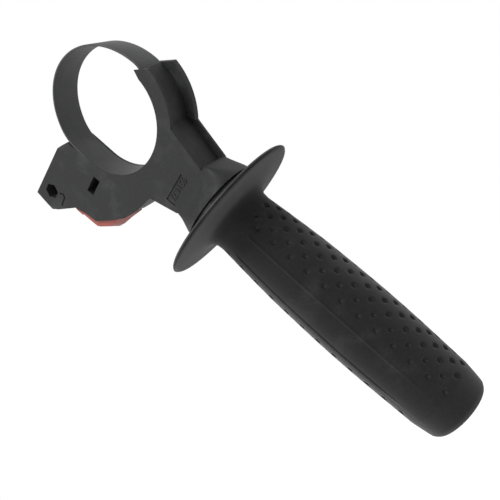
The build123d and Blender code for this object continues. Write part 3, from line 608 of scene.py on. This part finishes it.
def sleeve_points(around=240, rows=280):
    """Rings of the sleeve once round its wall: the lip's arc, the trumpet under the flange and the grip's line less
    the dimples' depth, then the end's corner and back up the inside. With them goes how deep in a dimple each point
    is."""
    turns = np.linspace(0, pi / 2, 6)
    lip = np.stack([LIP_RADIUS - RIM_REACH * (1 - np.cos(turns)), SEAM_Z - FLANGE_HALF * np.sin(turns)], 1)
    lip[-1] = GRIP_LINE[0]
    trumpet = smooth_line(GRIP_LINE, 900)
    field_top = DIMPLE_TOP + 2
    throat = trumpet[trumpet[:, 1] > field_top][::18]
    field = trumpet[trumpet[:, 1] <= field_top]
    field = field[np.linspace(0, len(field) - 1, rows).astype(int)]
    tail = smooth_line(np.vstack([GRIP_LINE[-1:], TAIL_CORNER]), 26)[1:]
    inner = smooth_line(GRIP_LINE[WAIST_PLACE:] - (SLEEVE_WALL, 0), 18)[::-1]
    inside = np.vstack([BORE_FOOT, inner, BORE_TOP])
    line = np.vstack([lip[:-1], throat, field, tail, inside])
    outer = len(lip) - 1 + len(throat) + len(field) + len(tail)
    turn = turns_with_crests(around)
    radius = np.broadcast_to(line[:, :1], (len(line), len(turn))).copy()
    z = np.broadcast_to(line[:, 1:], radius.shape)
    tt = np.broadcast_to(turn, radius.shape)
    depth, bowl = dimple_depth(tt[:outer], z[:outer], radius[:outer])
    radius[:outer] -= depth
    hollow = np.zeros(radius.shape)
    hollow[:outer] = bowl
    return np.stack([radius * np.cos(tt), radius * np.sin(tt), z], -1), hollow


grip_rubber = plastic("grip rubber", (0.0125, 0.0125, 0.0128), (0.04, 0.04, 0.041), roughness=0.68,
                      gloss=RUBBER_GLOSS, contrast=0.6, cloud=700.0, pit=1900.0, depth=0.12 * MM,
                      sheen=RUBBER_SHEEN)
places, hollow = sleeve_points()
sleeve = placed("grip_rubber_sleeve", grid_mesh("grip_rubber_sleeve", places, closed_rows=True))
sleeve.data.attributes.new("hollow", "FLOAT", "POINT").data.foreach_set("value", hollow.ravel())

# In a dimple the rubber's colour is mixed towards near black, most at the bowl's middle, as painted shade; the rubber
# there is also a little glossier and has no sheen.
rubber_tree = grip_rubber.node_tree
rubber_shader = rubber_tree.nodes["Principled BSDF"]
hollow_node = rubber_tree.nodes.new("ShaderNodeAttribute")
hollow_node.attribute_name = "hollow"
in_dimple = hollow_node.outputs["Fac"]
polish = blend_of(rubber_tree, "MULTIPLY", in_dimple, DIMPLE_POLISH)
glint = blend_of(rubber_tree, "MULTIPLY", in_dimple, DIMPLE_GLOSS)
rubber_tree.links.new(blend_of(rubber_tree, "ADD", glint, RUBBER_GLOSS), rubber_shader.inputs["Specular IOR Level"])
# Painted shade: the base colour goes towards near black with the dimple's depth.
painted_dimple_shade = rubber_tree.nodes.new("ShaderNodeMix")
painted_dimple_shade.data_type = "RGBA"
painted_dimple_shade.inputs["B"].default_value = (DIMPLE_PAINTED_SHADE_TONE, DIMPLE_PAINTED_SHADE_TONE, DIMPLE_PAINTED_SHADE_TONE, 1)
rubber_tree.links.new(blend_of(rubber_tree, "MULTIPLY", in_dimple, DIMPLE_PAINTED_SHADE), painted_dimple_shade.inputs["Factor"])
rubber_tree.links.new(rubber_shader.inputs["Base Color"].links[0].from_socket, painted_dimple_shade.inputs["A"])
rubber_tree.links.new(painted_dimple_shade.outputs["Result"], rubber_shader.inputs["Base Color"])
sheen_left = blend_of(rubber_tree, "SUBTRACT", 1.0, in_dimple)
rubber_tree.links.new(blend_of(rubber_tree, "MULTIPLY", sheen_left, RUBBER_SHEEN), rubber_shader.inputs["Sheen Weight"])
plain_roughness = rubber_shader.inputs["Roughness"].links[0].from_socket
rubber_tree.links.new(blend_of(rubber_tree, "SUBTRACT", plain_roughness, polish), rubber_shader.inputs["Roughness"])
sleeve.data.materials.append(grip_rubber)
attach(sleeve, "grip")
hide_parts("grip_sleeve")

# Nut, its retaining ring and the end cap: the core is moulded round the long hexagon nut, the steel ring holds it, and
# a nylon plug closes the barrel.
dress("clamp_nut", zinc)
dress("nut_retainer", ground)
dress("grip_end_cap", core_nylon)

# Release button: one red nylon moulding with a crowned pad, which slides into the housing against two coil springs.
button_red = plastic("button red", (0.31, 0.085, 0.068), (0.46, 0.15, 0.12), roughness=0.5, gloss=0.3,
                     contrast=0.08, cloud=200.0, pit=2200.0, depth=0.03 * MM)
button = merged("release_button", "release_button_moulding")
crisp_edges(button)
button.data.materials.append(button_red)
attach(button, "release_button")
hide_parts("release_button")

# Lock bar and its pin: a stamped and zinc-plated strip on the button, whose edge the springs hold against the depth
# rod and a press takes off it.
dress("gauge_lock_bar", zinc)
dress("lock_bar_pin", ground)

# Button springs: two small coils on lines at 45 degrees, squeezed between the button's back and the body.
SPRING_LINES = {"button_spring_lower": 9.5, "button_spring_upper": 24.9}
SPRING_RADIUS = 1.9
SPRING_WIRE = 0.3
SPRING_FOOT_U = -41.0
SPRING_SEAT_U = -33.5
SPRING_TURNS = 6


def from_press(u, v, y):
    """A point given along the button's line (u) and across it (v), in the model's own axes: x = (u - v)/root 2,
    z = (u + v)/root 2."""
    return np.stack([(u - v) / np.sqrt(2), y, (u + v) / np.sqrt(2)], -1)


def coil_points(line, per_turn=24, around=8):
    """Rings of wire along the helix (u, line + R cos t, R sin t), which runs from the button's back to its seat."""
    t = np.linspace(0, 2 * pi * SPRING_TURNS, SPRING_TURNS * per_turn + 1)
    u = np.linspace(SPRING_FOOT_U + SPRING_WIRE, SPRING_SEAT_U - SPRING_WIRE, len(t))
    centre = np.stack([u, line + SPRING_RADIUS * np.cos(t), SPRING_RADIUS * np.sin(t)], 1)
    outward = np.stack([np.zeros(len(t)), np.cos(t), np.sin(t)], 1)
    along = np.gradient(centre, axis=0)
    beside = np.cross(along / np.linalg.norm(along, axis=1)[:, None], outward)
    turn = np.linspace(0, 2 * pi, around, endpoint=False)[None, :, None]
    ring = centre[:, None] + SPRING_WIRE * (np.cos(turn) * outward[:, None] + np.sin(turn) * beside[:, None])
    return from_press(ring[..., 0], ring[..., 1], ring[..., 2])


spring_wire = metal("spring wire", (0.40, 0.40, 0.41), (0.54, 0.54, 0.55), roughness=0.32, streak=1300.0)
for node, line in SPRING_LINES.items():
    spring = placed(node + "_coil", grid_mesh(node + "_coil", coil_points(line)))
    spring.data.materials.append(spring_wire)
    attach(spring, "clamp_body")
    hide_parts(node)
    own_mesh(spring)

# Floor: a wide pale sheet far below, so that the object's shadow falls outside the picture.
FLOOR_Z = -0.45
FLOOR_HALF = 6.0
FLOOR_TONE = 0.82
FLOOR_GLOW = 0.75
floor_mesh = bpy.data.meshes.new("floor")
floor_corners = np.array([(-1, -1), (1, -1), (1, 1), (-1, 1)]) * FLOOR_HALF
floor_mesh.from_pydata([(*corner, FLOOR_Z) for corner in floor_corners.tolist()], [], [(0, 1, 2, 3)])
floor = placed("floor", floor_mesh)


def seen_directly(tree):
    """A socket that is 1 for camera, glossy and transmission rays."""
    path = tree.nodes.new("ShaderNodeLightPath")
    total = blend_of(tree, "ADD", path.outputs["Is Camera Ray"], path.outputs["Is Glossy Ray"])
    total = blend_of(tree, "ADD", total, path.outputs["Is Transmission Ray"])
    return blend_of(tree, "MINIMUM", total, 1.0)


floor_paint = bpy.data.materials.new("floor paint")
floor_paint.use_nodes = True
floor_tree = floor_paint.node_tree
floor_shader = floor_tree.nodes["Principled BSDF"]
floor_shader.inputs["Base Color"].default_value = (FLOOR_TONE, FLOOR_TONE, FLOOR_TONE, 1)
floor_shader.inputs["Roughness"].default_value = 0.9
floor_shader.inputs["Specular IOR Level"].default_value = 0.0
floor_shader.inputs["Emission Color"].default_value = (1, 1, 1, 1)
floor_glow = blend_of(floor_tree, "MULTIPLY", seen_directly(floor_tree), FLOOR_GLOW)
floor_tree.links.new(floor_glow, floor_shader.inputs["Emission Strength"])
floor_mesh.materials.append(floor_paint)

# Studio light: a white surround that lights softly, a soft lamp above on the right, one in front, level with the
# clamp, and a weaker one on the left.
SURROUND = 0.30
world = bpy.data.worlds.new("studio")
bpy.context.scene.world = world
world.use_nodes = True
studio = world.node_tree
background = studio.nodes["Background"]
background.inputs["Color"].default_value = (1, 1, 1, 1)
surround_range = studio.nodes.new("ShaderNodeMapRange")
surround_range.inputs["To Min"].default_value = SURROUND
surround_range.inputs["To Max"].default_value = 1.0
studio.links.new(seen_directly(studio), surround_range.inputs["Value"])
studio.links.new(surround_range.outputs[0], background.inputs["Strength"])


def soft_lamp(name, place, aim, size, energy):
    """A square area lamp at a place, facing a point."""
    lamp = bpy.data.lights.new(name, "AREA")
    lamp.size = size
    lamp.energy = energy
    holder = placed(name, lamp)
    away = np.array(place) - np.array(aim)
    back = away / np.linalg.norm(away)
    side = np.cross((0.0, 0.0, 1.0), back)
    side /= np.linalg.norm(side)
    up = np.cross(back, side)
    rows = [(*row, shift) for row, shift in zip(np.stack([side, up, back], 1), place)]
    holder.matrix_world = Matrix(rows + [(0, 0, 0, 1)])


MIDDLE = (-0.01, 0.0, -0.08)
soft_lamp("key lamp", (0.32, -0.60, 0.65), MIDDLE, size=0.4, energy=6.8)
soft_lamp("front lamp", (-0.1, -0.95, 0.05), MIDDLE, size=0.35, energy=3.0)
soft_lamp("fill lamp", (-0.8, -0.7, 0.2), MIDDLE, size=0.5, energy=0.8)

# Camera: fitted to the photograph, level with the upper part of the grip. The matrix's columns are the picture's right,
# up and back directions and the camera's place.
camera = bpy.data.cameras.new("camera")
camera.sensor_width = 36
camera.lens = 43.2
camera_holder = placed("camera", camera)
camera_holder.matrix_world = Matrix((
    (0.490075, 0.652265, 0.578253, 0.144525),
    (0.449876, 0.378937, -0.808714, -0.214889),
    (-0.746618, 0.656473, -0.107731, -0.111848),
    (0, 0, 0, 1),
))
bpy.context.scene.camera = camera_holder
bpy.context.scene.view_settings.view_transform = "Standard"
